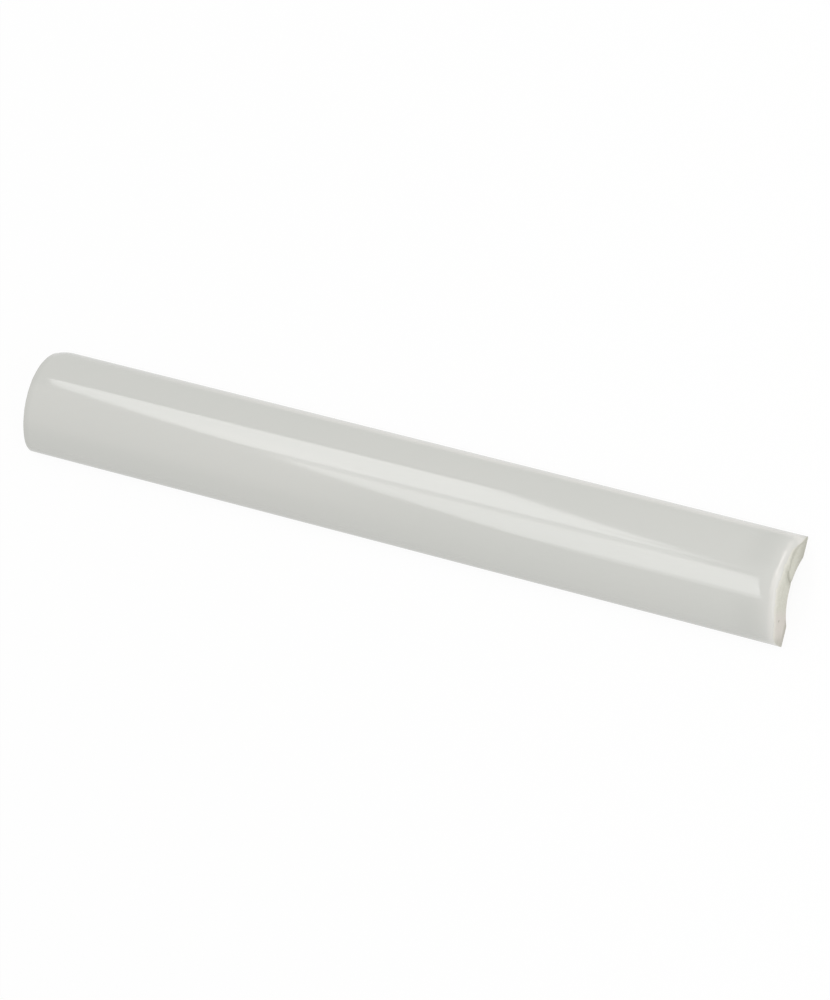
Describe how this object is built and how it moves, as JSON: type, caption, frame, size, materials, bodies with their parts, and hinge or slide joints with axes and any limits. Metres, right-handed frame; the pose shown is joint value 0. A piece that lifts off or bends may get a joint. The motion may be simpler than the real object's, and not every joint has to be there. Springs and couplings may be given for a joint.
{
  "type": "bullnose tile",
  "caption": "Glazed ceramic bullnose trim tile: a long strip with a rounded glossy face and a shallow hollow back, for finishing the edge of a tiled wall.",
  "frame": {"origin": "middle of the plane of the two back lands, on which the tile lies", "axes": "+X along the tile's length, +Y across its width, +Z out of the rounded glazed face"},
  "size_m": [0.2, 0.025, 0.009],
  "materials": {
    "glazed_ceramic": "glossy pale grey glaze over the rounded face and its rolled ends; bare cream biscuit on the end faces and the back"
  },
  "bodies": {
    "root": {"bullnose_tile": "glazed_ceramic"}
  },
  "joints": []
}
